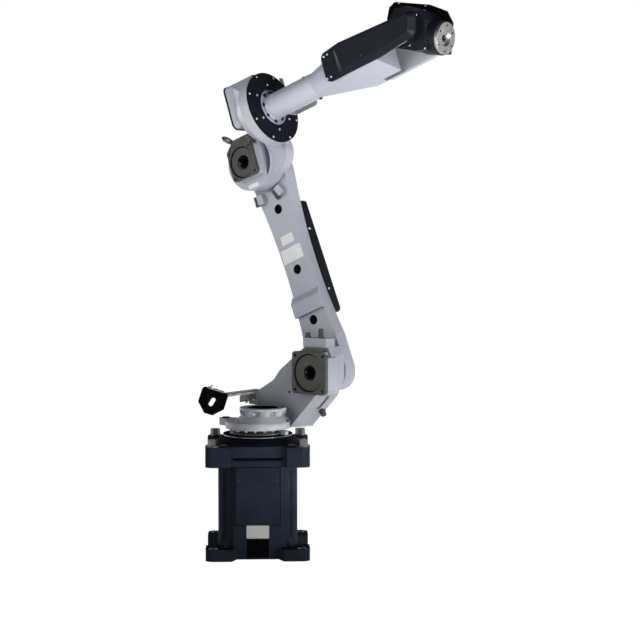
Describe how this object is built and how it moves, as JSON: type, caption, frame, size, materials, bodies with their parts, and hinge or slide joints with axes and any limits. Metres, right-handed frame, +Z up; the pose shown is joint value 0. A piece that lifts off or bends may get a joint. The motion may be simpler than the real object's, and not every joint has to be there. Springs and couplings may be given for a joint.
{
  "type": "industrial robot arm",
  "caption": "Floor-standing articulated robot arm on a square cast base: slewing carousel, lower arm, elbow with roll unit, tubular forearm, forked wrist and round tool flange, motors removed.",
  "frame": {"origin": "on the floor under the slewing axis, at the centre of the floor bolts", "axes": "+Z up along the slewing axis, -Y out of the base's front panel, +X to its right"},
  "size_m": [0.8229, 0.8034, 1.8447],
  "materials": {
    "base_paint": "satin dark navy paint on cast iron",
    "cover_black": "satin blue-black covers",
    "cast_paint": "satin light grey paint on castings",
    "machined": "machined and oiled dark grey",
    "steel": "turned steel",
    "sheet_grey": "grey painted sheet steel",
    "rubber": "matt olive rubber"
  },
  "bodies": {
    "base": {"base_casting": "base_paint", "base_front_panel": "cover_black", "ear_bolts": "steel", "slew_ring": "steel", "slew_seal": "rubber", "slew_stop": "cast_paint"},
    "carousel": {"slew_output": "steel", "carousel_casting": "cast_paint", "shoulder_motor_plate": "machined", "shoulder_coupling": "machined", "shoulder_gear_unit": "steel", "shoulder_bumpers": "rubber", "front_bumper": "rubber", "cable_bracket": "sheet_grey", "cable_holder": "cover_black"},
    "lower_arm": {"lower_arm_casting": "cast_paint", "lower_arm_cover": "cover_black", "access_plugs": "cover_black", "elbow_bumpers": "rubber"},
    "elbow": {"elbow_casting": "cast_paint", "elbow_rear_cover": "cover_black", "elbow_motor_plate": "machined", "elbow_coupling": "machined", "elbow_gear_unit": "steel", "lifting_eye": "steel", "roll_cover": "cover_black", "forearm_cable_plate": "sheet_grey"},
    "forearm": {"forearm_flange": "cast_paint", "forearm_tube": "cast_paint", "forearm_fork": "cast_paint", "belt_cover": "cover_black", "fork_bearing_cap": "cover_black"},
    "wrist": {"wrist_body": "cover_black", "wrist_side_cover": "cover_black"},
    "tool": {"tool_flange": "steel"}
  },
  "joints": [
    {"name": "slew", "type": "hinge", "parent": "base", "child": "carousel", "pos_m": [0, 0, 0.43], "axis": [0, 0, 1], "range_deg": [-130, 210]},
    {"name": "shoulder", "type": "hinge", "parent": "carousel", "child": "lower_arm", "pos_m": [0.15321, -0.12856, 0.628], "axis": [0.6428, 0.766, 0], "range_deg": [-30, 132]},
    {"name": "elbow", "type": "hinge", "parent": "lower_arm", "child": "elbow", "pos_m": [-0.07207, 0.06047, 1.34504], "axis": [-0.6428, -0.766, 0], "range_deg": [-71, 166]},
    {"name": "forearm_roll", "type": "hinge", "parent": "elbow", "child": "forearm", "pos_m": [0.1166, -0.09784, 1.55248], "axis": [0.7252, -0.6085, 0.3223], "range_deg": [-190, 190]},
    {"name": "wrist_bend", "type": "hinge", "parent": "forearm", "child": "wrist", "pos_m": [0.49587, -0.41608, 1.72102], "axis": [0.6428, 0.766, 0], "range_deg": [-145, 95]},
    {"name": "tool_turn", "type": "hinge", "parent": "wrist", "child": "tool", "pos_m": [0.58872, -0.494, 1.70721], "axis": [0.7611, -0.6387, -0.1132], "range_deg": [-360, 360]}
  ]
}
